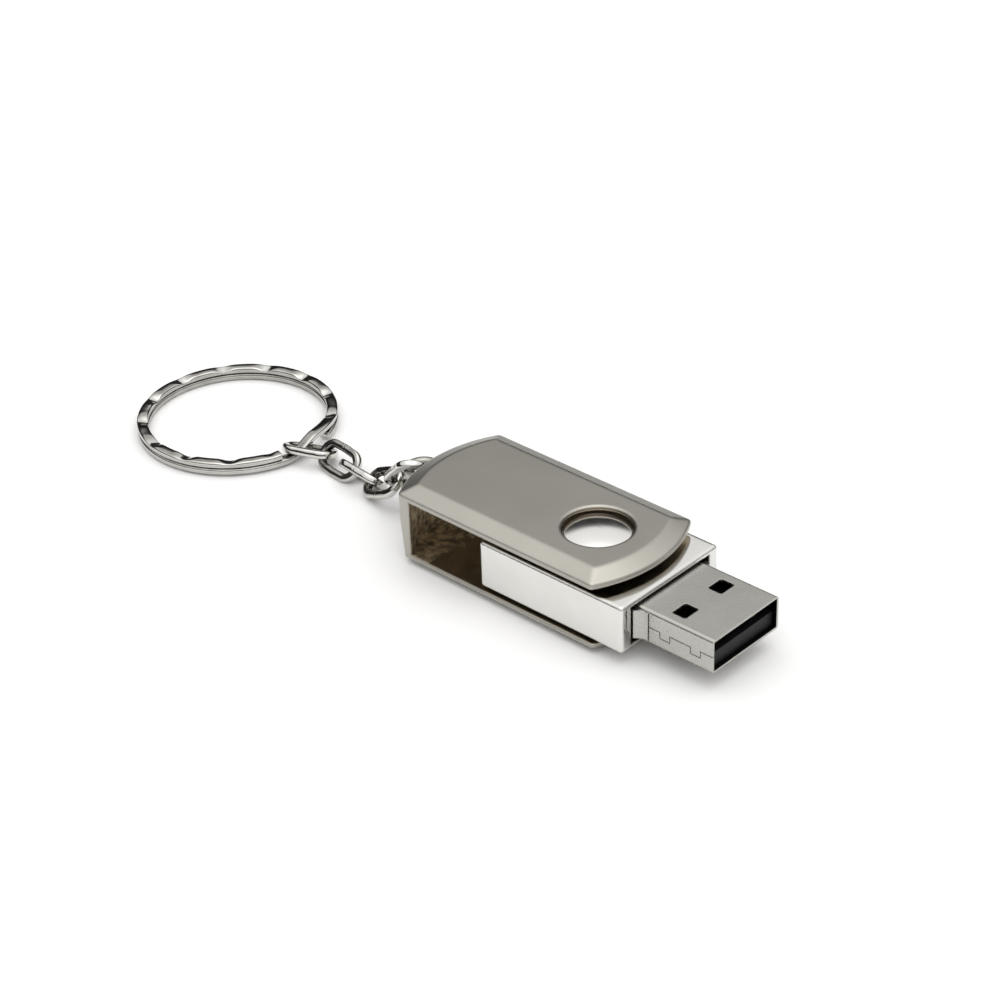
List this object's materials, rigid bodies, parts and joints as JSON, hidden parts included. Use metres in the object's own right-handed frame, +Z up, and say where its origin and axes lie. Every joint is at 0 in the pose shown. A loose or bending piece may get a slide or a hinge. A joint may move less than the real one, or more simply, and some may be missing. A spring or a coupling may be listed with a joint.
{
  "type": "usb flash drive",
  "caption": "Swivel USB flash drive: satin metal cover turning round a mirror-bright body with a type A plug, on a short link chain with a split key ring.",
  "frame": {"origin": "on the flat underside of the cover's lower plate, straight below the swivel axis", "axes": "+X along the USB plug when it is swung out, +Z up out of the upper plate, +Y to the left of the plug"},
  "size_m": [0.0985, 0.0266, 0.0104],
  "materials": {
    "satin_nickel": "satin nickel plating on a zinc casting",
    "bright_chrome": "mirror plating",
    "plug_steel": "plain nickel-plated sheet steel, fine matt grain",
    "black_plastic": "moulded",
    "contact_gold": "gold plating",
    "board_green": "solder mask",
    "chip_black": "moulded epoxy",
    "led_clear": "clear epoxy",
    "capacitor_tan": "fired ceramic",
    "white_plastic": "moulded",
    "chain_chrome": "bright nickel plating on steel wire"
  },
  "bodies": {
    "cover": {"swivel_cover": "satin_nickel"},
    "drive": {"body_housing": "bright_chrome", "pivot_cap_top": "bright_chrome", "pivot_cap_bottom": "bright_chrome", "plug_shell": "plug_steel", "plug_insulator": "black_plastic", "contact_power": "contact_gold", "contact_data_minus": "contact_gold", "contact_data_plus": "contact_gold", "contact_ground": "contact_gold", "circuit_board": "board_green", "flash_memory_chip": "chip_black", "controller_chip": "chip_black", "crystal_oscillator": "plug_steel", "activity_led": "led_clear", "capacitors": "capacitor_tan", "resistors": "chip_black", "board_carrier_upper": "white_plastic", "board_carrier_lower": "white_plastic"},
    "link_1": {"chain_link_1": "chain_chrome"},
    "link_2": {"chain_link_2": "chain_chrome"},
    "link_3": {"chain_link_3": "chain_chrome"},
    "link_4": {"chain_link_4": "chain_chrome"},
    "link_5": {"chain_link_5": "chain_chrome"},
    "ring": {"split_ring": "chain_chrome"}
  },
  "joints": [
    {"name": "cover_swivel", "type": "hinge", "parent": "cover", "child": "drive", "pos_m": [0, 0, 0.00492], "axis": [0, 0, 1], "continuous": true},
    {"name": "eye_swing", "type": "hinge", "parent": "cover", "child": "link_1", "pos_m": [-0.02954, -0.00108, 0.00703], "axis": [-0.5163, 0.615, 0.596], "range_deg": [-30, 12]},
    {"name": "link_2_swing", "type": "hinge", "parent": "link_1", "child": "link_2", "pos_m": [-0.03174, -0.00066, 0.00469], "axis": [-0.5163, 0.615, 0.596], "range_deg": [-40, 40]},
    {"name": "link_3_swing", "type": "hinge", "parent": "link_2", "child": "link_3", "pos_m": [-0.03779, -0.00007, 0.00179], "axis": [-0.0712, -0.6899, -0.7204], "range_deg": [-40, 40]},
    {"name": "link_4_swing", "type": "hinge", "parent": "link_3", "child": "link_4", "pos_m": [-0.04102, 0.00016, 0.00189], "axis": [-0.0712, -0.6899, -0.7204], "range_deg": [-40, 40]},
    {"name": "link_5_swing", "type": "hinge", "parent": "link_4", "child": "link_5", "pos_m": [-0.04779, 0.00079, 0.00153], "axis": [-0.1393, 0.3508, 0.926], "range_deg": [-40, 40]},
    {"name": "ring_swing", "type": "hinge", "parent": "link_5", "child": "ring", "pos_m": [-0.05068, -0.00009, 0.00143], "axis": [-0.1393, 0.3508, 0.926], "range_deg": [-50, 15]}
  ]
}
